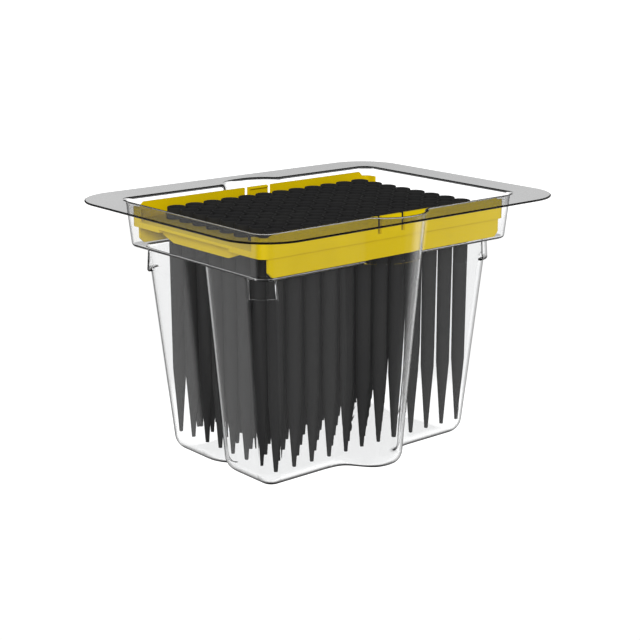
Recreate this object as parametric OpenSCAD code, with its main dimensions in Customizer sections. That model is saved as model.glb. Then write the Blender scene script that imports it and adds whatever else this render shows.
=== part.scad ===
// Box of robot pipette tips.
// A clear thermoformed tray with a wide flange holds a yellow carrier, which
// stands on a ledge round the inside of the tray. Long black hollow tips hang
// by their collars in a 9 mm grid of holes in the carrier's deck.
// Frame: millimetres, +Z up, origin at the centre of the tray's underside,
// +X along the long side, the front long side towards -Y.

/* [Tips] */
// Distance between neighbouring tip centres
tip_pitch = 9; // [8.5:0.1:11]
// Tips along the long side
tip_columns = 12; // [6, 8, 10, 12]
// Tips along the short side
tip_rows = 8; // [6, 8]
// Length of a tip from collar to point
tip_length = 95.6; // [60:0.1:115]
// How far a collar reaches over the rim of its hole
collar_seat = 0.65; // [0.3:0.05:0.9]
// Height of the collar above the deck
collar_h = 5.3; // [3:0.1:8]
// Outside diameter of the tube just under the collar
tube_d = 6.2; // [5.2:0.1:6.6]
// Outside diameter where the straight tube turns into the long point
shoulder_d = 5.5; // [4:0.1:6]
// Length of the point
point_length = 27.5; // [15:0.5:40]
// Outside diameter at the open end
end_d = 1.5; // [1.2:0.1:2.5]
// Wall of the tube round the mouth that a pipetting head's cone pushes into
mouth_wall = 0.3; // [0.2:0.05:0.6]
// Depth of that mouth
mouth_depth = 7; // [4:0.5:10]
// Wall of the tube below the mouth
tip_wall = 0.65; // [0.4:0.05:0.9]
// Bore at the open end
end_bore = 0.8; // [0.5:0.1:1]
// Funnel at the mouth
mouth_funnel = 0.5; // [0.2:0.1:0.8]

/* [Carrier] */
// From the outermost tips' centres to the carrier's short sides
deck_margin_x = 14.4; // [12:0.1:18]
// From the outermost tips' centres to its long sides
deck_margin_y = 11.25; // [9.25:0.05:14]
// Radius of its upright corners
carrier_r = 3.2; // [2:0.1:6]
// Thickness of the deck that the collars stand on
deck_t = 2.3; // [1.5:0.1:4]
// Height of the deck's top above the ledge
deck_rise = 9.7; // [7:0.1:14]
// Clearance round a tube in its hole
hole_clearance = 0.15; // [0.05:0.05:0.3]
// Thickness of rails and skirts
carrier_wall = 1.2; // [0.8:0.1:2]
// Height of the long rails above the deck
rail_h = 6.8; // [4:0.1:10]
// Height of the corner pieces above the deck
corner_h = 4.9; // [2:0.1:6.5]
// How far a corner piece runs along the short side
corner_run = 6; // [4:0.5:12]
// How far it runs along the long side
corner_side = 7.2; // [6:0.1:12]
// Length cut off each end of a long rail
rail_end = 3.6; // [2:0.1:6]
// Chamfer on the rail ends and on the skirt's lower corners
rail_chamfer = 2; // [0.5:0.1:3]
// Step from the rail's face in to the skirt's face
skirt_step = 0.6; // [0.2:0.1:1.5]
// Length cut off each end of a long skirt
skirt_end = 3.3; // [2:0.1:8]
// Thickness of the deck's lip over a short skirt
end_lip_t = 1.1; // [0.6:0.1:1.8]
// How far the lip reaches past the skirt's face
end_lip_out = 3.6; // [1:0.1:5]
// Half the length of the lip
end_lip_half = 23; // [18:0.5:32]
// Half the length of a short skirt along its lower edge
end_skirt_half = 18; // [10:0.5:30]
// How much longer it is where it leaves the deck
end_skirt_flare = 11; // [0:0.5:14]
// Depth of a short skirt below the deck
end_skirt_h = 3.8; // [1:0.1:6]
// Distance from the middle to each slot beside a latch tab
slot_x = 6.2; // [4:0.1:10]
// Width of a slot
slot_w = 2; // [1:0.1:4]
// How far the latch tab's nib stands out
nib_out = 0.9; // [0.3:0.1:1.5]
// Height of the nib
nib_h = 1.4; // [0.8:0.1:3]
// How far the nib stops short of the slots
nib_inset = 0.5; // [0:0.1:2]

/* [Tray] */
// Thickness of the clear sheet
sheet = 0.8; // [0.4:0.1:1.2]
// Gap between the tips' ends and the floor
tip_gap = 6.1; // [5.7:0.1:15]
// Height of the upper wall from the ledge to the flange
upper_depth = 18; // [12:0.5:24]
// Gap between the carrier and the upper wall at the ledge
seat_gap_x = 0.45; // [0.2:0.05:2]
// The same gap on the long sides
seat_gap_y = 1.45; // [0.2:0.05:3]
// Outward lean of the upper wall over its height
upper_lean = 1.5; // [0.5:0.1:4]
// Width of the ledge on the short sides
ledge_x = 1.9; // [1.8:0.1:4]
// Width of the ledge on the long sides
ledge_y = 6; // [4:0.1:8]
// From the outermost tips' centres to the foot of the wall on the short sides
floor_margin_x = 4.95; // [4:0.05:8]
// From the outermost tips' centres to the foot of the wall on the long sides
floor_margin_y = 1.7; // [1.6:0.05:4]
// Least gap between the tips' shoulders and the wall
shoulder_gap = 0.3; // [0.1:0.05:1]
// Corner radius at the flange's opening
rim_r = 5.4; // [4:0.1:10]
// Corner radius of the lower well at the ledge
well_r = 8.9; // [7.5:0.1:11]
// Corner radius of the lower well at the floor
floor_r = 7; // [6.5:0.1:7.4]
// Rounding between the wall and the floor
floor_fillet = 6.4; // [3:0.1:6.6]
// Width of the flange on the short sides
flange_x = 15.4; // [8:0.1:25]
// Width of the flange on the long sides
flange_y = 16.6; // [12:0.1:25]
// Corner radius of the flange
flange_r = 20; // [8:0.5:30]
// Rounding of the ledge and the rim
edge_r = 1.2; // [0.9:0.1:1.7]

/* [Finger bulges] */
// How far a bulge stands out from the rim
grip_out = 7.4; // [4:0.1:9]
// How far its crest leans in from the rim to the floor
grip_lean = 8.1; // [6:0.1:12]
// Half the width of its face at the rim
grip_half = 18; // [12:0.5:22]
// How much less that is at the floor
grip_taper = 6.5; // [0:0.5:8]
// Step left by the ledge inside a bulge
grip_step = 0.2; // [0.2:0.1:1.5]

/* [End recesses and lugs] */
// From the outermost tips' centres out to the recess's crease at the ledge
recess_margin_top = 8.05; // [5:0.05:10]
// From the outermost tips' centres out to the crease at the floor, below 0
// where it runs in between the middle tips
recess_margin_floor = -0.3; // [-1:0.05:3.9]
// Half the recess's width
recess_half = 10.7; // [7:0.1:12]
// Height of the stacking lugs below the ledge
lug_h = 9.4; // [4:0.1:20]
// How far a lug stands out at its lower end
lug_out = 1.5; // [0.5:0.1:2.5]
// Where a lug starts on the corner's arc, in degrees from the short side
lug_start = 17; // [5:1:40]
// Where it ends
lug_end = 87; // [50:1:88]

/* [Hidden] */
$fn = 48;

// Curve of a bulge's face and the start of its straight flank
grip_gain = 1.6;
grip_power = 2.6;
flank_start = 0.8;
flank_fall = grip_gain * pow(flank_start, grip_power);
flank_slope = grip_gain * grip_power * pow(flank_start, grip_power - 1);

// How sharply a recess's sides close in on its crease
recess_power = 2.55;

// Heights, from the underside of the tray up
tip_z = sheet + tip_gap;
shoulder_z = tip_z + point_length;
deck_z = tip_z + tip_length - collar_h;
ledge_z = deck_z - deck_rise;
rim_z = ledge_z + upper_depth;

// Diameters that follow from the tube's
hole_d = tube_d + 2 * hole_clearance;
collar_d = hole_d + 2 * collar_seat;
mouth_d = tube_d - 2 * mouth_wall;

// Centres of the outermost tips, and the carrier round them
outer_tip_x = tip_pitch * (tip_columns - 1) / 2;
outer_tip_y = tip_pitch * (tip_rows - 1) / 2;
carrier_x = 2 * (outer_tip_x + deck_margin_x);
carrier_y = 2 * (outer_tip_y + deck_margin_y);

// Plan half sizes of the tray's outer face
upper_half_x = carrier_x / 2 + seat_gap_x + sheet;
upper_half_y = carrier_y / 2 + seat_gap_y + sheet;
rim_half_x = upper_half_x + upper_lean;
rim_half_y = upper_half_y + upper_lean;
well_half_x = upper_half_x - ledge_x;
well_half_y = upper_half_y - ledge_y;
floor_half_x = wall_foot(outer_tip_x, floor_margin_x, well_half_x);
floor_half_y = wall_foot(outer_tip_y, floor_margin_y, well_half_y);
flange_half_x = rim_half_x + flange_x;
flange_half_y = rim_half_y + flange_y;

// Steps along the curved stretches of one outline
corner_steps = 6;
grip_steps = 16;
recess_steps = 14;
fillet_steps = 5;

// Colours
clear_sheet = [0.86, 0.89, 0.92, 0.3];
carrier_yellow = [0.83, 0.69, 0.02];
tip_black = [0.07, 0.07, 0.075];

function column_name(i) = str("tips_column_", i < 9 ? "0" : "", i + 1);

// Fraction of the way up the lower well
function rise(z) = z / ledge_z;

// Value at a height between those at the floor and at the ledge
function between(at_floor, at_ledge, z) = at_floor + (at_ledge - at_floor) * rise(z);

// Half size at the foot of a wall that leans out to well_half at the ledge:
// the margin round the tips, or more where the wall would meet their shoulders
function wall_foot(outer_tip, margin, well_half) =
    let (share = rise(shoulder_z))
    let (clear = outer_tip + shoulder_d / 2 + shoulder_gap + sheet)
    max(outer_tip + margin, (clear - share * well_half) / (1 - share));

// A bulge's crest at a height, as a distance from the middle plane
function crest(z) = rim_half_y + grip_out - grip_lean * (rim_z - z) / rim_z;

// Half width of a bulge's face at a height
function grip_width(z) = grip_half - grip_taper * (rim_z - z) / rim_z;

// Fall of a bulge's face below its crest, u half widths from its middle:
// a flat-topped curve that runs on as a straight flank
function grip_fall(u) = grip_out
    * (u < flank_start ? grip_gain * pow(u, grip_power) : flank_fall + flank_slope * (u - flank_start));

// The u at which a bulge meets a wall that lies fall below its crest
function grip_reach(fall) =
    fall <= 0 ? 1
    : fall < flank_fall * grip_out ? pow(fall / grip_out / grip_gain, 1 / grip_power)
    : flank_start + (fall / grip_out - flank_fall) / flank_slope;

// Share of a recess's full depth, v half widths from its crease
function recess_share(v) = pow(1 - min(abs(v), 1), recess_power);

// One level of the tray's skin: height, half sizes, corner radius, crest and
// half width of the bulges, depth of the recesses, reach of the lugs
function level(z, x, y, r, top = 0, wide = grip_half, dip = 0, lug = 0) =
    [z, x, y, r, top, wide, dip, lug];

// Stations round one corner, in degrees from the short side, each with a 1
// where a lug stands out
lug_stations = [for (i = [0 : corner_steps]) [lug_start + (lug_end - lug_start) * i / corner_steps, 1]];
corner_stations = concat(
    [[0, 0], [lug_start / 2, 0], [lug_start - 1, 0]],
    lug_stations,
    [[lug_end + 1, 0], [90, 0]]
);

function reversed(list) = [for (i = [len(list) - 1 : -1 : 0]) list[i]];

// The corner whose arc starts turn degrees round from +X
function corner_points(s, turn) =
    let (from_short = turn % 180 == 0)
    let (cx = (s[1] - s[3]) * (turn == 90 || turn == 180 ? -1 : 1))
    let (cy = (s[2] - s[3]) * (turn >= 180 ? -1 : 1))
    [for (station = from_short ? corner_stations : reversed(corner_stations))
        let (a = turn + (from_short ? station[0] : 90 - station[0]))
        let (r = s[3] + station[1] * s[7])
        [cx + r * cos(a), cy + r * sin(a), s[0]]];

// The long side, from its +X end to its -X end on the back
function long_side(s, way) =
    let (reach = grip_reach(s[4] - s[2]))
    [for (i = [0 : grip_steps])
        let (u = reach * (1 - 2 * i / grip_steps))
        let (y = s[4] > s[2] ? max(s[2], s[4] - grip_fall(abs(u))) : s[2])
        [way * u * s[5], way * y, s[0]]];

// The short side, from its +Y end to its -Y end on the left
function short_side(s, way) =
    [for (i = [0 : recess_steps])
        let (v = 1 - 2 * i / recess_steps)
        [way * (s[1] - s[6] * recess_share(v)), -way * v * recess_half, s[0]]];

function outline(s) = concat(
    short_side(s, 1),
    corner_points(s, 0),
    long_side(s, 1),
    corner_points(s, 90),
    short_side(s, -1),
    corner_points(s, 180),
    long_side(s, -1),
    corner_points(s, 270)
);

// Lower well at a height, moved in by inset
function well_level(z, inset, lug = 0) = level(
    z,
    between(floor_half_x, well_half_x, z) - inset,
    between(floor_half_y, well_half_y, z) - inset,
    max(between(floor_r, well_r, z) - inset, 0.5),
    crest(z) - grip_step - inset,
    grip_width(z),
    between(floor_half_x - recess_margin_floor, well_half_x - recess_margin_top, z) - outer_tip_x,
    lug
);

// Upper wall at a height, moved in by inset, and by less inside the bulges
// where a rounding takes it in further
function upper_level(z, inset, rounding = 0) =
    let (k = (z - ledge_z) / upper_depth)
    level(
        z,
        upper_half_x + upper_lean * k - inset - rounding,
        upper_half_y + upper_lean * k - inset - rounding,
        rim_r - inset - rounding,
        crest(z) - inset - rounding * grip_step / edge_r / 2,
        grip_width(z)
    );

// Rounding between the floor and the wall, for a face moved in by inset
function floor_levels(inset) =
    let (r = floor_fillet - inset)
    [for (i = [0 : fillet_steps])
        let (a = 90 * i / fillet_steps)
        well_level(inset + r * (1 - cos(a)), inset + r * (1 - sin(a)))];

function lug_levels(inset) =
    let (low = ledge_z - sheet - lug_h)
    [
        well_level(low + inset, inset),
        well_level(low + inset + 0.05, inset, lug_out),
    ];

// Round outer edge where the ledge turns up into the upper wall
ledge_turn = [for (a = [90 : -30 : 0])
    upper_level(ledge_z - sheet + edge_r * (1 - sin(a)), 0, edge_r * (1 - cos(a)))];

// Round turn from the upper wall out into the flange, whose face lies at z
function rim_turn(z, inset) =
    [for (a = [0 : 30 : 90])
        upper_level(z - edge_r * (1 - sin(a)), inset - edge_r * (1 - cos(a)))];

outer_levels = concat(
    floor_levels(0),
    lug_levels(0),
    [well_level(ledge_z - sheet, 0)],
    ledge_turn,
    rim_turn(rim_z - sheet, 0),
    [level(rim_z - sheet, flange_half_x, flange_half_y, flange_r)]
);

inner_levels = concat(
    floor_levels(sheet),
    lug_levels(sheet),
    [well_level(ledge_z, sheet)],
    [upper_level(ledge_z, sheet)],
    rim_turn(rim_z, sheet),
    [level(rim_z, flange_half_x, flange_half_y, flange_r)]
);

module tray() {
    outer = [for (s = outer_levels) outline(s)];
    inner = [for (s = reversed(inner_levels)) outline(s)];
    rings = concat(outer, inner);
    n = len(rings[0]);
    last = (len(rings) - 1) * n;
    below = len(rings) * n;
    walls = [for (k = [0 : len(rings) - 2]) for (i = [0 : n - 1])
        let (j = (i + 1) % n)
        [k * n + i, (k + 1) * n + i, (k + 1) * n + j, k * n + j]];
    underside = [for (i = [0 : n - 1]) [i, (i + 1) % n, below]];
    floor_top = [for (i = [0 : n - 1]) [last + (i + 1) % n, last + i, below + 1]];
    color(clear_sheet)
        polyhedron(
            points = concat([for (ring = rings) for (p = ring) p], [[0, 0, 0], [0, 0, sheet]]),
            faces = concat(underside, walls, floor_top),
            convexity = 10
        );
}

// Rounded plate of the carrier's outline, moved in by inset
module carrier_plate(inset, z, h) {
    x = carrier_x / 2 - carrier_r;
    y = carrier_y / 2 - carrier_r;
    translate([0, 0, z]) {
        translate([-x, -carrier_y / 2 + inset, 0])
            cube([2 * x, carrier_y - 2 * inset, h]);
        translate([-carrier_x / 2 + inset, -y, 0])
            cube([carrier_x - 2 * inset, 2 * y, h]);
        for (sx = [-1, 1])
            for (sy = [-1, 1])
                translate([sx * x, sy * y, 0])
                    cylinder(r = carrier_r - inset, h = h);
    }
}

// Upright wall round the carrier, cut down to four corner pieces
module corner_pieces() {
    difference() {
        carrier_plate(0, deck_z - deck_t, deck_t + corner_h);
        carrier_plate(carrier_wall, deck_z - 2 * deck_t, 3 * deck_t + corner_h);
        cube([2 * carrier_x, carrier_y - 2 * corner_run, 4 * rim_z], center = true);
        cube([carrier_x - 2 * corner_side, 2 * carrier_y, 4 * rim_z], center = true);
    }
}

// Long rail with chamfered ends, the two slots and the latch tab's nib
module long_rail() {
    half = carrier_x / 2 - rail_end;
    face = carrier_y / 2;
    low = deck_z - deck_t;
    top = deck_z + rail_h;
    difference() {
        translate([0, face, 0])
            rotate([90, 0, 0])
                linear_extrude(carrier_wall)
                    polygon([
                        [-half, low],
                        [half, low],
                        [half, top - rail_chamfer],
                        [half - rail_chamfer, top],
                        [rail_chamfer - half, top],
                        [-half, top - rail_chamfer],
                    ]);
        for (side = [-1, 1])
            translate([side * slot_x - slot_w / 2, face - 2 * carrier_wall, deck_z])
                cube([slot_w, 3 * carrier_wall, 2 * rail_h]);
    }
    translate([0, face - carrier_wall, 0])
        rotate([90, 0, -90])
            linear_extrude(2 * (slot_x - nib_inset) - slot_w, center = true)
                polygon([
                    [0, top],
                    [nib_out, top - nib_h / 4],
                    [nib_out, top - nib_h / 2],
                    [0, top - nib_h],
                ]);
}

// Skirt under a long side, standing on the ledge
module long_skirt() {
    half = carrier_x / 2 - skirt_end;
    translate([0, carrier_y / 2 - skirt_step, 0])
        rotate([90, 0, 0])
            linear_extrude(carrier_wall)
                polygon([
                    [rail_chamfer - half, ledge_z],
                    [half - rail_chamfer, ledge_z],
                    [half, ledge_z + rail_chamfer],
                    [half, deck_z - deck_t / 2],
                    [-half, deck_z - deck_t / 2],
                    [-half, ledge_z + rail_chamfer],
                ]);
}

// Space below the deck's lip along a short side
module end_undercut() {
    translate([carrier_x / 2 - end_lip_out, -end_lip_half, deck_z - 2 * deck_t])
        cube([2 * end_lip_out, 2 * end_lip_half, 2 * deck_t - end_lip_t]);
}

// Shallow skirt under the middle of a short side, behind the lip
module end_skirt() {
    low = deck_z - deck_t - end_skirt_h;
    wide = end_skirt_half + end_skirt_flare;
    translate([carrier_x / 2 - end_lip_out - carrier_wall, 0, 0])
        rotate([90, 0, 90])
            linear_extrude(carrier_wall)
                polygon([
                    [-end_skirt_half, low],
                    [end_skirt_half, low],
                    [wide, deck_z - deck_t],
                    [wide, deck_z - deck_t / 2],
                    [-wide, deck_z - deck_t / 2],
                    [-wide, deck_z - deck_t],
                ]);
}

function tip_x(i) = tip_pitch * i - outer_tip_x;
function tip_y(j) = tip_pitch * j - outer_tip_y;

module tip_carrier() {
    color(carrier_yellow) {
        difference() {
            carrier_plate(0, deck_z - deck_t, deck_t);
            for (i = [0 : tip_columns - 1])
                for (j = [0 : tip_rows - 1])
                    translate([tip_x(i), tip_y(j), deck_z - 2 * deck_t])
                        cylinder(d = hole_d, h = 3 * deck_t);
            for (turn = [0, 180])
                rotate([0, 0, turn])
                    end_undercut();
        }
        corner_pieces();
        for (turn = [0, 180])
            rotate([0, 0, turn]) {
                long_rail();
                long_skirt();
                end_skirt();
            }
    }
}

// One hollow tip, its point at the origin
module tip() {
    seat = tip_length - collar_h;
    floor_of_mouth = tip_length - mouth_depth;
    rotate_extrude()
        polygon([
            [end_bore / 2, 0],
            [end_d / 2, 0],
            [shoulder_d / 2, point_length],
            [tube_d / 2, seat],
            [collar_d / 2, seat],
            [collar_d / 2, tip_length],
            [mouth_d / 2 + mouth_funnel, tip_length],
            [mouth_d / 2, tip_length - mouth_funnel],
            [mouth_d / 2, floor_of_mouth],
            [tube_d / 2 - tip_wall, floor_of_mouth - mouth_funnel],
            [shoulder_d / 2 - tip_wall, point_length],
        ]);
}

// One column of tips across the short side
module tips_column(i) {
    color(tip_black)
        for (j = [0 : tip_rows - 1])
            translate([tip_x(i), tip_y(j), tip_z])
                tip();
}

tray();
tip_carrier();
for (i = [0 : tip_columns - 1])
    tips_column(i);
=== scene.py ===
"""Looks of the box of pipette tips: a clear thermoformed tray, a yellow tip carrier and black hollow tips.

Sizes are in millimetres, as in the part's source, and become metres where a mesh is made."""

import math

import bpy
import numpy as np
from mathutils import Matrix, Vector


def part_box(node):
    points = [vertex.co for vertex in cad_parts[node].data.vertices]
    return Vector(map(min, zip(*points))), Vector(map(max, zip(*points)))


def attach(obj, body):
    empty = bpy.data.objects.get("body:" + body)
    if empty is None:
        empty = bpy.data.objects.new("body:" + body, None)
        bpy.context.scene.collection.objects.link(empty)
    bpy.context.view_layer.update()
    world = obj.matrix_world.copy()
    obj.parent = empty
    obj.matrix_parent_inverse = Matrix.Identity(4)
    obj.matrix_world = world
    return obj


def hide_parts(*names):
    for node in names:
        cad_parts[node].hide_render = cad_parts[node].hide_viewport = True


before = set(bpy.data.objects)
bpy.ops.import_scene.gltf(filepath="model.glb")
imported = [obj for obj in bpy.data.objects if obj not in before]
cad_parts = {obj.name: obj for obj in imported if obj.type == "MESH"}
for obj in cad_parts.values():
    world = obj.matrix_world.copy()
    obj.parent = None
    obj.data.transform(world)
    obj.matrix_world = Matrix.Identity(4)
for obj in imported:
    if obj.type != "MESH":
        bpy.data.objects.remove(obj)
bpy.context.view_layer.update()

MM = 0.001


def millimetres(corner):
    """A corner of the frame in millimetres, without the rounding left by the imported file."""
    return [round(v / MM, 3) for v in corner]


# ---------------------------------------------------------------- sizes from the frame

tray_high = millimetres(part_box("tray")[1])
carrier_low, carrier_high = map(millimetres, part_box("tip_carrier"))
COLUMNS = sorted(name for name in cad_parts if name.startswith("tips_column_"))
column_boxes = {name: tuple(map(millimetres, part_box(name))) for name in COLUMNS}
first_low, first_high = column_boxes[COLUMNS[0]]

FLANGE_X, FLANGE_Y, RIM_Z = tray_high
CARRIER_X, CARRIER_Y = carrier_high[:2]
LEDGE_Z = carrier_low[2]
TIP_Z = first_low[2]
COLLAR_D = first_high[0] - first_low[0]
ROWS = 8
ROW_Y = np.linspace(first_low[1] + COLLAR_D / 2, first_high[1] - COLLAR_D / 2, ROWS)
OUTER_TIP_X = -(first_low[0] + first_high[0]) / 2
OUTER_TIP_Y = ROW_Y[-1]

# ---------------------------------------------------------------- the tray's own sizes

SHEET = 0.8
UPPER_LEAN = 1.5
SEAT_GAP_X, SEAT_GAP_Y = 0.45, 1.45
LEDGE_X, LEDGE_Y = 1.9, 6.0
FLOOR_MARGIN_X, FLOOR_MARGIN_Y = 4.95, 1.7
RIM_R, WELL_R, FLOOR_R, FLANGE_R = 5.4, 8.9, 7.0, 20.0
FLOOR_FILLET = 6.4
BEND = 0.6
GRIP_OUT, GRIP_LEAN, GRIP_HALF, GRIP_TAPER, GRIP_STEP = 7.4, 8.1, 18.0, 6.5, 0.02
GRIP_GAIN, GRIP_POWER, FLANK_START = 1.6, 2.6, 0.8
FLANK_FALL = GRIP_GAIN * FLANK_START**GRIP_POWER
FLANK_SLOPE = GRIP_GAIN * GRIP_POWER * FLANK_START ** (GRIP_POWER - 1)
# How softly a bulge runs into the wall, at its crease and at its foot, and how fast the foot's share
# fades with height
CREASE, FOOT_CREASE, FOOT_POWER = 0.7, 7.0, 6
# How far a bulge's stations run past where it meets the wall, and how much further at its foot
PAST_GRIP, PAST_FOOT = 0.12, 0.8
RECESS_FLOOR, RECESS_TOP, RECESS_HALF, RECESS_POWER, RECESS_BLUNT = 5.25, 4.85, 10.7, 2.55, 0.02
LUG_H, LUG_OUT, LUG_START, LUG_END = 9.4, 1.5, 17.0, 87.0
LUG_ROOT_BEND, LUG_EDGE_BEND = 0.25, 0.45
# Largest share of the way to the next ring that a bend may take
BEND_SHARE = 0.42
# Along a wall from a bend to the ring that gives its direction: in the lower and the upper wall, and at a lug
LOWER_AIM, UPPER_AIM, LUG_AIM = 3.0, 4.0, 2.0
# Length left free of rings between a bend and the rings of the upper wall
WALL_MARGIN = 3.0

# A tip's closed outline, as radius and height above its point: up its outside, over the collar, down its bore
TIP_LINE = [
    (0.46, 0.0), (0.66, 0.0), (0.72, 0.03), (0.755, 0.12), (1.75, 13.8), (2.73, 27.2), (2.753, 27.6),
    (2.76, 29.0), (2.93, 60.0), (3.09, 88.5), (3.1, 90.1), (3.16, 90.24), (3.3, 90.3), (3.74, 90.3),
    (3.85, 90.35), (3.9, 90.46), (3.9, 93.0), (3.9, 95.18), (3.86, 95.4), (3.75, 95.54), (3.58, 95.6),
    (3.38, 95.6), (3.27, 95.56), (2.86, 95.15), (2.8, 95.0), (2.8, 91.5), (2.79, 88.7), (2.72, 88.45),
    (2.48, 88.12), (2.44, 87.8), (2.27, 57.0), (2.1, 27.5), (1.25, 13.75), (0.41, 0.1), (0.42, 0.03),
]
TIP_SEGMENTS = 40

UPPER_X = CARRIER_X + SEAT_GAP_X + SHEET
UPPER_Y = CARRIER_Y + SEAT_GAP_Y + SHEET
RIM_Y = UPPER_Y + UPPER_LEAN
WELL_X, WELL_Y = UPPER_X - LEDGE_X, UPPER_Y - LEDGE_Y
FLOOR_X, FLOOR_Y = OUTER_TIP_X + FLOOR_MARGIN_X, OUTER_TIP_Y + FLOOR_MARGIN_Y

CORNER_STATIONS = np.array(
    [0.0, 6.0, 12.0, LUG_START - 1]
    + list(np.linspace(LUG_START, LUG_END, 13))
    + [LUG_END + 1, 90.0]
)
ON_LUG = (CORNER_STATIONS >= LUG_START) & (CORNER_STATIONS <= LUG_END)
GRIP_STEPS, RECESS_STEPS = 56, 60
WALL_STEPS, UPPER_WALL_STEPS, FILLET_STEPS, BEND_STEPS = 14, 4, 10, 5


# ---------------------------------------------------------------- outlines of the tray


def between(at_floor, at_ledge, z):
    return at_floor + (at_ledge - at_floor) * z / LEDGE_Z


def crest(z):
    """Distance of a bulge's crest from the middle plane."""
    return RIM_Y + GRIP_OUT - GRIP_LEAN * (RIM_Z - z) / RIM_Z


def grip_fall(u):
    u = np.abs(u)
    curve = GRIP_GAIN * u**GRIP_POWER
    flank = FLANK_FALL + FLANK_SLOPE * (u - FLANK_START)
    return GRIP_OUT * np.where(u < FLANK_START, curve, flank)


def grip_reach(fall):
    """The u at which a bulge meets a wall that lies fall behind its crest."""
    if fall <= 0:
        return 1.0
    if fall < FLANK_FALL * GRIP_OUT:
        return (fall / GRIP_OUT / GRIP_GAIN) ** (1 / GRIP_POWER)
    return FLANK_START + (fall / GRIP_OUT - FLANK_FALL) / FLANK_SLOPE


def moved_in(plan, inset):
    """A closed plan moved in by a distance, square to its own line."""
    along = np.roll(plan, -1, axis=0) - np.roll(plan, 1, axis=0)
    inward = np.column_stack([-along[:, 1], along[:, 0]])
    return plan + inset * inward / np.linalg.norm(inward, axis=1, keepdims=True)


def outline(z, inset, x, y, r, top=0.0, dip=0.0, lug=0.0):
    """Closed ring at a height, moved in by inset: half sizes x and y, corner radius,
    crest of the bulges, depth of the recesses, reach of the lugs."""
    face = GRIP_HALF - GRIP_TAPER * (RIM_Z - z) / RIM_Z

    v = np.linspace(-1, 1, RECESS_STEPS + 1)
    share = np.clip(1 - np.hypot(v, RECESS_BLUNT), 0, 1) ** RECESS_POWER
    short = np.column_stack([x - dip * share, v * RECESS_HALF])

    foot = max(1 - z / LEDGE_Z, 0) ** FOOT_POWER
    crease = CREASE + (FOOT_CREASE - CREASE) * foot
    u = np.linspace(1, -1, GRIP_STEPS + 1) * (grip_reach(top - y) + PAST_GRIP + PAST_FOOT * foot)
    if top > y:
        rise = top - grip_fall(u) - y
        swell = (rise + np.sqrt(rise**2 + crease**2)) / 2
        edge = (rise[0] + math.sqrt(rise[0] ** 2 + crease**2)) / 2
        long = np.column_stack([u * face, y + np.clip(swell - edge, 0, None)])
    else:
        long = np.column_stack([u * face, np.full(len(u), y)])

    radius = r + lug * ON_LUG
    angle = np.radians(CORNER_STATIONS)
    corner = np.column_stack([x - r + radius * np.cos(angle), y - r + radius * np.sin(angle)])

    half = np.vstack([short, corner, long, corner[::-1] * (-1, 1)])
    plan = moved_in(np.vstack([half, -half]), inset)
    return np.column_stack([plan, np.full(len(plan), z)])


def well(z, inset, shrink=0.0, lug=0.0):
    """Outline of the lower well at a height, drawn smaller by shrink."""
    return outline(
        z,
        inset,
        between(FLOOR_X, WELL_X, z) - shrink,
        between(FLOOR_Y, WELL_Y, z) - shrink,
        max(between(FLOOR_R, WELL_R, z) - shrink, 0.5),
        crest(z) - GRIP_STEP - shrink,
        between(RECESS_FLOOR, RECESS_TOP, z),
        lug,
    )


def upper(z, inset):
    """Outline of the wall above the ledge at a height."""
    lean = UPPER_LEAN * (z - LEDGE_Z) / (RIM_Z - LEDGE_Z)
    return outline(z, inset, UPPER_X + lean, UPPER_Y + lean, RIM_R, crest(z))


def flange(z, inset):
    return outline(z, inset, FLANGE_X, FLANGE_Y, FLANGE_R)


def floor_turn(inset):
    """Rings from the flat floor up round its fillet."""
    rings = []
    for a in np.radians(np.linspace(90, 0, FILLET_STEPS + 1)):
        ring = well(FLOOR_FILLET * (1 - math.sin(a)), inset * math.cos(a), FLOOR_FILLET * (1 - math.cos(a)))
        rings.append(ring + (0, 0, inset * math.sin(a)))
    return rings


def wall(make, low, high, inset, steps=WALL_STEPS):
    """Rings up a wall, its two ends left out."""
    return [make(z, inset) for z in np.linspace(low, high, steps + 2)[1:-1]]


def rounded(before, corner, after, reach):
    """Rings that turn smoothly from one ring's direction to another's round a corner ring."""
    def start(towards):
        way = towards - corner
        length = np.linalg.norm(way, axis=1, keepdims=True)
        return corner + way * np.minimum(reach / np.maximum(length, 1e-6), BEND_SHARE)

    a, b = start(before), start(after)
    turn = []
    for t in np.linspace(0, 1, BEND_STEPS + 1):
        turn.append(a * (1 - t) ** 2 + corner * 2 * t * (1 - t) + b * t**2)
    return turn


def lug_rings(inset):
    """Rings past the underside of the lugs, from below up."""
    low = LEDGE_Z - SHEET - LUG_H + inset
    below = well(low - LUG_AIM, inset)
    root, edge = well(low, inset), well(low, inset, 0, LUG_OUT)
    above = well(low + LUG_AIM, inset, 0, LUG_OUT)
    return rounded(below, root, edge, LUG_ROOT_BEND) + rounded(root, edge, above, LUG_EDGE_BEND)


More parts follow.
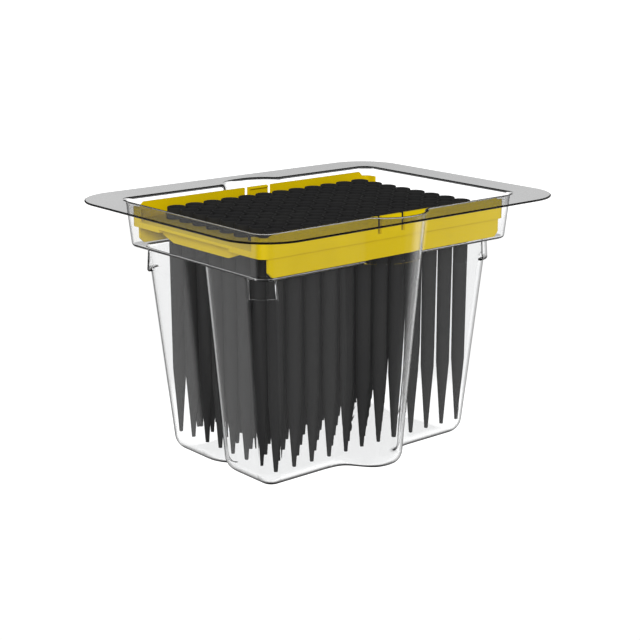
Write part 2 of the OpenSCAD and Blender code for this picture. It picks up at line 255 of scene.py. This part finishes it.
def tray_rings():
    """All rings of the sheet, up its outer face and down its inner face."""
    under = LEDGE_Z - SHEET
    low_lug = LEDGE_Z - SHEET - LUG_H
    rings = floor_turn(0) + wall(well, FLOOR_FILLET, low_lug, 0) + lug_rings(0)
    foot, lip = well(under, 0), upper(under, 0)
    rings += rounded(well(under - LOWER_AIM, 0), foot, lip, BEND)
    rings += rounded(foot, lip, upper(under + UPPER_AIM, 0), BEND + SHEET)
    rings += wall(upper, under + WALL_MARGIN, RIM_Z - SHEET - WALL_MARGIN, 0, UPPER_WALL_STEPS)
    neck, edge = upper(RIM_Z - SHEET, 0), flange(RIM_Z - SHEET, 0)
    rings += rounded(upper(RIM_Z - SHEET - UPPER_AIM, 0), neck, edge, BEND + SHEET)
    top_edge = flange(RIM_Z, 0)
    rings += rounded(neck, edge, top_edge, BEND)
    mouth = upper(RIM_Z, SHEET)
    rings += rounded(edge, top_edge, mouth, BEND)
    rings += rounded(top_edge, mouth, upper(RIM_Z - UPPER_AIM, SHEET), BEND + 2 * SHEET)
    rings += wall(upper, LEDGE_Z + WALL_MARGIN, RIM_Z - WALL_MARGIN, SHEET, UPPER_WALL_STEPS)[::-1]
    root, brink = upper(LEDGE_Z, SHEET), well(LEDGE_Z, SHEET)
    rings += rounded(upper(LEDGE_Z + UPPER_AIM, SHEET), root, brink, BEND)
    rings += rounded(root, brink, well(LEDGE_Z - LOWER_AIM, SHEET), BEND + SHEET)
    rings += lug_rings(SHEET)[::-1]
    rings += wall(well, FLOOR_FILLET, low_lug, SHEET)[::-1] + floor_turn(SHEET)[::-1]
    return rings


# ---------------------------------------------------------------- meshes


def piece(name, points, faces, material):
    """A mesh in the row frame, from points in millimetres."""
    mesh = bpy.data.meshes.new(name)
    mesh.from_pydata((np.asarray(points) * MM).tolist(), [], faces)
    mesh.validate()
    mesh.update()
    mesh.polygons.foreach_set("use_smooth", [True] * len(mesh.polygons))
    mesh.materials.append(material)
    made = bpy.data.objects.new(name, mesh)
    bpy.context.scene.collection.objects.link(made)
    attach(made, "root")
    return made


def weighted_normals(made):
    """Shading that keeps flat faces flat next to their roundings."""
    modifier = made.modifiers.new("normals", "WEIGHTED_NORMAL")
    modifier.mode = "FACE_AREA"
    modifier.weight = 50
    modifier.keep_sharp = True


def loft(rings):
    """Points and quads of closed rings joined in order."""
    n = len(rings[0])
    faces = []
    for k in range(len(rings) - 1):
        for i in range(n):
            j = (i + 1) % n
            faces.append((k * n + i, k * n + j, (k + 1) * n + j, (k + 1) * n + i))
    return np.vstack(rings), faces


def make_tray(material):
    rings = tray_rings()
    points, faces = loft(rings)
    n = len(rings[0])
    last = (len(rings) - 1) * n
    centre = len(points)
    points = np.vstack([points, [[0, 0, 0], [0, 0, SHEET]]])
    faces += [(centre, (i + 1) % n, i) for i in range(n)]
    faces += [(centre + 1, last + i, last + (i + 1) % n) for i in range(n)]
    made = piece("clear_tray", points, faces, material)
    weighted_normals(made)
    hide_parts("tray")


def make_tips(column, material):
    """The tips of one column, as one mesh."""
    low, high = column_boxes[column]
    x = (low[0] + high[0]) / 2
    angle = np.linspace(0, 2 * math.pi, TIP_SEGMENTS, endpoint=False)
    circle = np.column_stack([np.cos(angle), np.sin(angle)])
    points, faces = [], []
    for y in ROW_Y:
        start = len(points) * TIP_SEGMENTS
        for k, (radius, z) in enumerate(TIP_LINE):
            points.append(np.column_stack([circle * radius + (x, y), np.full(TIP_SEGMENTS, TIP_Z + z)]))
            this, after = start + k * TIP_SEGMENTS, start + (k + 1) % len(TIP_LINE) * TIP_SEGMENTS
            for i in range(TIP_SEGMENTS):
                j = (i + 1) % TIP_SEGMENTS
                faces.append((this + i, this + j, after + j, after + i))
    made = piece("black_" + column, np.vstack(points), faces, material)
    weighted_normals(made)
    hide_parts(column)


# Millimetres: points this close are one, and how wide the edges' roundings are. Then the degrees from
# which an edge is rounded
WELD, EDGE_WIDTH, EDGE_ANGLE = 0.01, 0.22, 35


def soften_carrier(node):
    """Small roundings on the carrier's edges, as a mould leaves them."""
    weld = node.modifiers.new("weld", "WELD")
    weld.merge_threshold = WELD * MM
    bevel = node.modifiers.new("edges", "BEVEL")
    bevel.width = EDGE_WIDTH * MM
    bevel.segments = 2
    bevel.limit_method = "ANGLE"
    bevel.angle_limit = math.radians(EDGE_ANGLE)
    bevel.harden_normals = False
    weighted_normals(node)


# ---------------------------------------------------------------- materials


def new_material(name):
    material = bpy.data.materials.new(name)
    material.use_nodes = True
    tree = material.node_tree
    tree.nodes.clear()
    return material, tree, tree.nodes.new("ShaderNodeOutputMaterial")


def feed(tree, target, value):
    """Gives an input another node's output, or a plain value."""
    if isinstance(value, bpy.types.NodeSocket):
        tree.links.new(value, target)
    else:
        target.default_value = value


def math_node(tree, operation, *values):
    """A Math node fed by outputs or numbers."""
    node = tree.nodes.new("ShaderNodeMath")
    node.operation = operation
    for target, value in zip(node.inputs, values):
        feed(tree, target, value)
    return node.outputs[0]


def range_node(tree, value, start, end, low, high):
    """A smooth Map Range from start..end to low..high."""
    node = tree.nodes.new("ShaderNodeMapRange")
    node.interpolation_type = "SMOOTHSTEP"
    tree.links.new(value, node.inputs["Value"])
    node.inputs["From Min"].default_value = start
    node.inputs["From Max"].default_value = end
    node.inputs["To Min"].default_value = low
    node.inputs["To Max"].default_value = high
    return node.outputs[0]


def noise_node(tree, size, stretch=(1, 1, 1), detail=2.0):
    """Noise fixed to the object, with features of about size millimetres times stretch."""
    where = tree.nodes.new("ShaderNodeTexCoord")
    mapping = tree.nodes.new("ShaderNodeMapping")
    mapping.inputs["Scale"].default_value = [1 / (size * MM * along) for along in stretch]
    noise = tree.nodes.new("ShaderNodeTexNoise")
    noise.inputs["Scale"].default_value = 1.0
    noise.inputs["Detail"].default_value = detail
    tree.links.new(where.outputs["Object"], mapping.inputs["Vector"])
    tree.links.new(mapping.outputs[0], noise.inputs["Vector"])
    return noise.outputs[0]


def bump_node(tree, height, depth):
    """Normal of a surface that noise lifts by up to depth millimetres."""
    bump = tree.nodes.new("ShaderNodeBump")
    bump.inputs["Strength"].default_value = 1.0
    bump.inputs["Distance"].default_value = depth * MM
    tree.links.new(height, bump.inputs["Height"])
    return bump.outputs[0]


def shade_node(tree, value, dark, light):
    """Colour between dark and light, chosen by a value near a half."""
    ramp = tree.nodes.new("ShaderNodeValToRGB")
    ramp.color_ramp.elements[0].position = 0.35
    ramp.color_ramp.elements[0].color = (*dark, 1)
    ramp.color_ramp.elements[1].position = 0.65
    ramp.color_ramp.elements[1].color = (*light, 1)
    tree.links.new(value, ramp.inputs[0])
    return ramp.outputs[0]


# Tint of the mirror on plastics and on level sheet. The studio overhead is brightened
# to match, which leaves the mirror fewer samples and the flange less noise.
MIRROR = 0.15


def under_mirror(tree, body, ior, roughness, normal, tint):
    """A body shader under a mirror whose share follows the angle of view."""
    fresnel = tree.nodes.new("ShaderNodeFresnel")
    fresnel.inputs["IOR"].default_value = ior
    gloss = tree.nodes.new("ShaderNodeBsdfGlossy")
    feed(tree, gloss.inputs["Roughness"], roughness)
    feed(tree, gloss.inputs["Color"], tint)
    mix = tree.nodes.new("ShaderNodeMixShader")
    for node in (fresnel, gloss, body):
        tree.links.new(normal, node.inputs["Normal"])
    tree.links.new(fresnel.outputs[0], mix.inputs[0])
    tree.links.new(body.outputs[0], mix.inputs[1])
    tree.links.new(gloss.outputs[0], mix.inputs[2])
    return mix.outputs[0]


CLEAR_IOR = 1.46
# Spacing and depth of the sheet's waves in millimetres
WAVES, WAVE_DEPTH = 30, 0.02
# Upward share of the normal at which the sheet starts and ends turning from wall to level sheet
LEVEL_RANGE = (0.5, 0.9)


def clear_material():
    """Clear sheet, a little wavy, that lets lamps and the soft light through to what it holds."""
    material, tree, output = new_material("clear_sheet")
    waves = noise_node(tree, WAVES)
    body = tree.nodes.new("ShaderNodeBsdfRefraction")
    tint = shade_node(tree, waves, (0.990, 0.992, 0.993), (0.995, 0.996, 0.997))
    tree.links.new(tint, body.inputs["Color"])
    body.inputs["Roughness"].default_value = 0.0
    body.inputs["IOR"].default_value = CLEAR_IOR
    place = tree.nodes.new("ShaderNodeNewGeometry")
    facing = tree.nodes.new("ShaderNodeSeparateXYZ")
    tree.links.new(place.outputs["Normal"], facing.inputs[0])
    level = math_node(tree, "ABSOLUTE", facing.outputs["Z"])
    mirror = range_node(tree, level, *LEVEL_RANGE, 1.0, MIRROR)
    sheet = under_mirror(tree, body, CLEAR_IOR, 0.0, bump_node(tree, waves, WAVE_DEPTH), mirror)
    path = tree.nodes.new("ShaderNodeLightPath")
    soft = math_node(tree, "MAXIMUM", path.outputs["Is Shadow Ray"], path.outputs["Is Diffuse Ray"])
    through = tree.nodes.new("ShaderNodeBsdfTransparent")
    mix = tree.nodes.new("ShaderNodeMixShader")
    tree.links.new(soft, mix.inputs[0])
    tree.links.new(sheet, mix.inputs[1])
    tree.links.new(through.outputs[0], mix.inputs[2])
    tree.links.new(mix.outputs[0], output.inputs["Surface"])
    return material


# Spacing in millimetres of the plastics' drifts of colour, and how they stretch
DRIFT, DRIFT_STRETCH = 18, (1, 1, 2)


def plastic_material(name, dark, light, ior, grain, stretch, depth, rough):
    """Moulded plastic: slow drifts of colour, fine grain in its skin and uneven gloss."""
    material, tree, output = new_material(name)
    drift = noise_node(tree, DRIFT, DRIFT_STRETCH)
    skin = noise_node(tree, grain, stretch, 1.0)
    body = tree.nodes.new("ShaderNodeBsdfDiffuse")
    tree.links.new(shade_node(tree, drift, dark, light), body.inputs["Color"])
    gloss = range_node(tree, skin, 0.3, 0.7, *rough)
    tint = (MIRROR, MIRROR, MIRROR, 1)
    surface = under_mirror(tree, body, ior, gloss, bump_node(tree, skin, depth), tint)
    tree.links.new(surface, output.inputs["Surface"])
    return material


def yellow_material():
    return plastic_material(
        "carrier_yellow",
        dark=(0.62, 0.452, 0.002),
        light=(0.66, 0.488, 0.002),
        ior=1.22,
        grain=2.5,
        stretch=(1, 1, 1),
        depth=0.006,
        rough=(0.42, 0.56),
    )


def black_material():
    return plastic_material(
        "tip_black",
        dark=(0.0195, 0.0195, 0.02),
        light=(0.0225, 0.0225, 0.0225),
        ior=1.16,
        grain=3.0,
        stretch=(1, 1, 8),
        depth=0.004,
        rough=(0.46, 0.6),
    )


# ---------------------------------------------------------------- stage, light and camera


# Neither the floor nor the world is sampled as a lamp: a brightness that depends on the
# kind of path is only right where paths run into it.

FLOOR_SIZE, FLOOR_Z = 24, -0.0002


def make_stage():
    """White floor that no reflection shows."""
    bpy.ops.mesh.primitive_plane_add(size=FLOOR_SIZE, location=(0, 0, FLOOR_Z))
    floor = bpy.context.object
    floor.name = "floor"
    material, tree, output = new_material("floor_white")
    path = tree.nodes.new("ShaderNodeLightPath")
    glow = tree.nodes.new("ShaderNodeEmission")
    place = tree.nodes.new("ShaderNodeNewGeometry")
    distance = tree.nodes.new("ShaderNodeVectorMath")
    distance.operation = "LENGTH"
    tree.links.new(place.outputs["Position"], distance.inputs[0])
    near, middle, far = FLOOR_GLOW
    fall = range_node(tree, distance.outputs["Value"], *NEAR_RANGE, near - middle, 0.0)
    climb = range_node(tree, distance.outputs["Value"], *FAR_RANGE, middle, far)
    white = math_node(tree, "ADD", fall, climb)
    to_soft = math_node(tree, "SUBTRACT", SOFT, white)
    strength = math_node(tree, "MULTIPLY_ADD", path.outputs["Is Diffuse Ray"], to_soft, white)
    tree.links.new(strength, glow.inputs["Strength"])
    away = tree.nodes.new("ShaderNodeBsdfTransparent")
    mix = tree.nodes.new("ShaderNodeMixShader")
    reflected = math_node(tree, "GREATER_THAN", path.outputs["Glossy Depth"], 0.5)
    tree.links.new(reflected, mix.inputs[0])
    tree.links.new(glow.outputs[0], mix.inputs[1])
    tree.links.new(away.outputs[0], mix.inputs[2])
    tree.links.new(mix.outputs[0], output.inputs["Surface"])
    floor.data.materials.append(material)
    material.cycles.emission_sampling = "NONE"


# Brightness of the surround for the eye and through the sheet, and of surround and floor as soft light
WHITE, SOFT = 1.25, 0.6
# Brightness of the floor for the eye near the tray, round it and far behind it
FLOOR_GLOW = (1.3, 1.03, 1.4)
# Distances from the tray's middle, in metres, over which it falls from near and climbs to far
NEAR_RANGE, FAR_RANGE = (0.08, 0.12), (0.46, 0.6)
# Soft lamps: plan direction they stand in, height in degrees, and strength; and their breadth in degrees
LAMPS = [(-131, 22, 2.0), (49, 22, 1.2)]
LAMP_BREADTH = 20
# Brightness of the studio that reflections show: its dim walls, then plan directions
# in degrees with the brightness of the screens there
DIM = 0.05
PANORAMA = [
    (-180, 0.02), (-172, 0.06), (-155, 0.16), (-85, 0.16), (-72, 0.17), (-58, 0.15), (-44, 0.3),
    (-32, 1.25), (-16, 1.25), (-2, 0.6), (14, 0.5), (30, 0.3), (45, 0.1), (60, 0.1), (75, 0.4),
    (100, 0.55), (128, 0.55), (140, 0.4), (150, 0.15), (157, 0.02), (180, 0.02),
]
# Heights, as the share of a direction that points up, over which the screens end, the studio
# overhead starts, and the white seen through the sheet falls to its brightness overhead
SCREEN_RANGE, OVERHEAD_RANGE, BEYOND_RANGE = (0.02, 0.16), (0.09, 0.15), (0.10, 0.24)
BEYOND_OVERHEAD = 0.06


def make_world():
    """White surround for the eye and for soft light, a dark studio with side screens for reflections."""
    world = bpy.data.worlds.new("studio")
    bpy.context.scene.world = world
    world.use_nodes = True
    tree = world.node_tree
    tree.nodes.clear()
    output = tree.nodes.new("ShaderNodeOutputWorld")
    background = tree.nodes.new("ShaderNodeBackground")
    where = tree.nodes.new("ShaderNodeTexCoord")
    split = tree.nodes.new("ShaderNodeSeparateXYZ")
    path = tree.nodes.new("ShaderNodeLightPath")
    tree.links.new(where.outputs["Generated"], split.inputs[0])

    turn = math_node(tree, "ARCTAN2", split.outputs["Y"], split.outputs["X"])
    share = math_node(tree, "MULTIPLY_ADD", turn, 0.5 / math.pi, 0.5)
    screens = tree.nodes.new("ShaderNodeValToRGB")
    for degrees, light in PANORAMA:
        spot = (degrees + 180) / 360
        if degrees in (-180, 180):
            stop = screens.color_ramp.elements[0 if degrees < 0 else -1]
            stop.position = spot
        else:
            stop = screens.color_ramp.elements.new(spot)
        stop.color = (light, light, light, 1)
    tree.links.new(share, screens.inputs[0])
    low = range_node(tree, split.outputs["Z"], *SCREEN_RANGE, 1.0, 0.0)
    overhead = range_node(tree, split.outputs["Z"], *OVERHEAD_RANGE, DIM, DIM / MIRROR)
    studio = math_node(tree, "MULTIPLY_ADD", screens.outputs[0], low, overhead)

    beyond = range_node(tree, split.outputs["Z"], *BEYOND_RANGE, WHITE, BEYOND_OVERHEAD)
    bent = tree.nodes.new("ShaderNodeMix")
    soft = math_node(tree, "MULTIPLY_ADD", path.outputs["Is Diffuse Ray"], SOFT - WHITE, WHITE)
    tree.links.new(soft, bent.inputs["A"])
    tree.links.new(path.outputs["Is Transmission Ray"], bent.inputs["Factor"])
    tree.links.new(beyond, bent.inputs["B"])
    light = tree.nodes.new("ShaderNodeMix")
    reflected = math_node(tree, "GREATER_THAN", path.outputs["Glossy Depth"], 0.5)
    tree.links.new(reflected, light.inputs["Factor"])
    tree.links.new(bent.outputs["Result"], light.inputs["A"])
    tree.links.new(studio, light.inputs["B"])
    background.inputs["Color"].default_value = (1, 1, 1, 1)
    tree.links.new(light.outputs["Result"], background.inputs["Strength"])
    tree.links.new(background.outputs[0], output.inputs["Surface"])
    world.cycles.sampling_method = "NONE"


def make_lamps():
    """Broad lamps in front and behind, which reflections don't show."""
    for number, (turn, height, strength) in enumerate(LAMPS):
        turn, height = math.radians(turn), math.radians(height)
        way = Vector((math.cos(turn) * math.cos(height), math.sin(turn) * math.cos(height), math.sin(height)))
        lamp = bpy.data.lights.new(f"lamp_{number}", "SUN")
        lamp.energy = strength
        lamp.angle = math.radians(LAMP_BREADTH)
        made = bpy.data.objects.new(f"lamp_{number}", lamp)
        made.rotation_euler = way.to_track_quat("Z", "Y").to_euler()
        made.visible_glossy = False
        made.visible_transmission = False
        bpy.context.scene.collection.objects.link(made)


# The photo's camera: angles in degrees, then millimetres from the target, and moves to the right and up
AZIMUTH, ELEVATION, ROLL = -40.867, 14.683, 0.202
DISTANCE = 619.15
TARGET = (1.09, -0.885, 56.9)
TRACK, PEDESTAL = 5.10, -1.385
LENS, SENSOR = 83.466, 36.0
SHIFT_X, SHIFT_Y = -0.0253, -0.0092


def make_camera():
    a, e, r = map(math.radians, (AZIMUTH, ELEVATION, ROLL))
    back = Vector((math.sin(a) * math.cos(e), -math.cos(a) * math.cos(e), math.sin(e)))
    right = Vector((math.cos(a), math.sin(a), 0))
    up = back.cross(right)
    place = Vector(TARGET) + back * DISTANCE + right * TRACK + up * PEDESTAL
    across = right * math.cos(r) + up * math.sin(r)
    upward = up * math.cos(r) - right * math.sin(r)
    camera = bpy.data.objects.new("camera", bpy.data.cameras.new("camera"))
    camera.data.lens = LENS
    camera.data.sensor_width = SENSOR
    camera.data.shift_x = SHIFT_X
    camera.data.shift_y = SHIFT_Y
    turn = Matrix((across, upward, back)).transposed().to_4x4()
    camera.matrix_world = Matrix.Translation(place * MM) @ turn
    bpy.context.scene.collection.objects.link(camera)
    bpy.context.scene.camera = camera


scene = bpy.context.scene
scene.view_settings.view_transform = "Standard"
scene.cycles.max_bounces = 24
scene.cycles.transmission_bounces = 24
scene.cycles.transparent_max_bounces = 32
scene.cycles.caustics_reflective = False
scene.cycles.caustics_refractive = False

make_camera()
make_stage()
make_world()
make_lamps()
clear, yellow, black = clear_material(), yellow_material(), black_material()
make_tray(clear)
for column in COLUMNS:
    make_tips(column, black)
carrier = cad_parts["tip_carrier"]
carrier.data.materials.clear()
carrier.data.materials.append(yellow)
soften_carrier(carrier)
